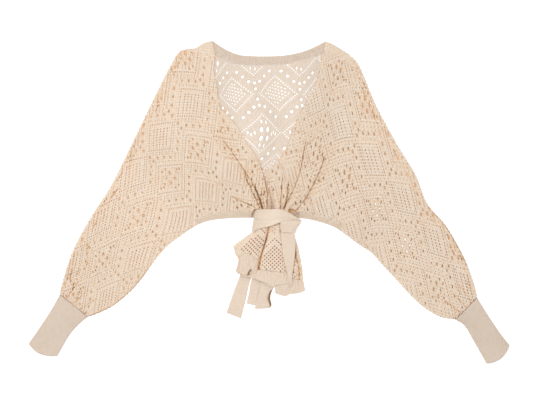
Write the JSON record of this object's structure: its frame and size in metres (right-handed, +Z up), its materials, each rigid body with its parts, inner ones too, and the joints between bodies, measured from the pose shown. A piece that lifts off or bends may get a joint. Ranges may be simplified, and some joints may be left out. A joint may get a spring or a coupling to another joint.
{
  "type": "crochet cardigan",
  "caption": "Cropped lace-knit cardigan with wide batwing sleeves, long plain cuffs and a ribbed neckband, laid flat with its fronts gathered into a waist tie.",
  "frame": {"origin": "middle of the garment's box as it lies, on the surface that it lies on", "axes": "+X across the garment to the wearer's left sleeve, +Y from the hem towards the neck, +Z up off the surface"},
  "size_m": [1.058, 0.71, 0.026],
  "materials": {
    "lace_knit": "matt cream cotton lace knit",
    "rib_knit": "matt cream cotton, plain and 1x1 rib knit",
    "tie_knit": "matt cream cotton, fine plain knit"
  },
  "bodies": {
    "root": {"back": "lace_knit", "front_right": "lace_knit", "front_left": "lace_knit", "sleeve_right_upper": "lace_knit", "sleeve_right_under": "lace_knit", "sleeve_left_upper": "lace_knit", "sleeve_left_under": "lace_knit", "tail_right": "lace_knit", "tail_left": "lace_knit", "neckband": "rib_knit", "back_hem_band": "rib_knit", "front_hem_band_right": "rib_knit", "front_hem_band_left": "rib_knit", "cuff_right": "rib_knit", "cuff_left": "rib_knit", "hem_rib_right": "rib_knit", "hem_rib_left": "rib_knit", "hem_rib_left_end": "rib_knit", "tie_wrap": "tie_knit", "tie_end_top": "tie_knit", "tie_end_low": "tie_knit", "tie_end_middle": "tie_knit"}
  },
  "joints": []
}
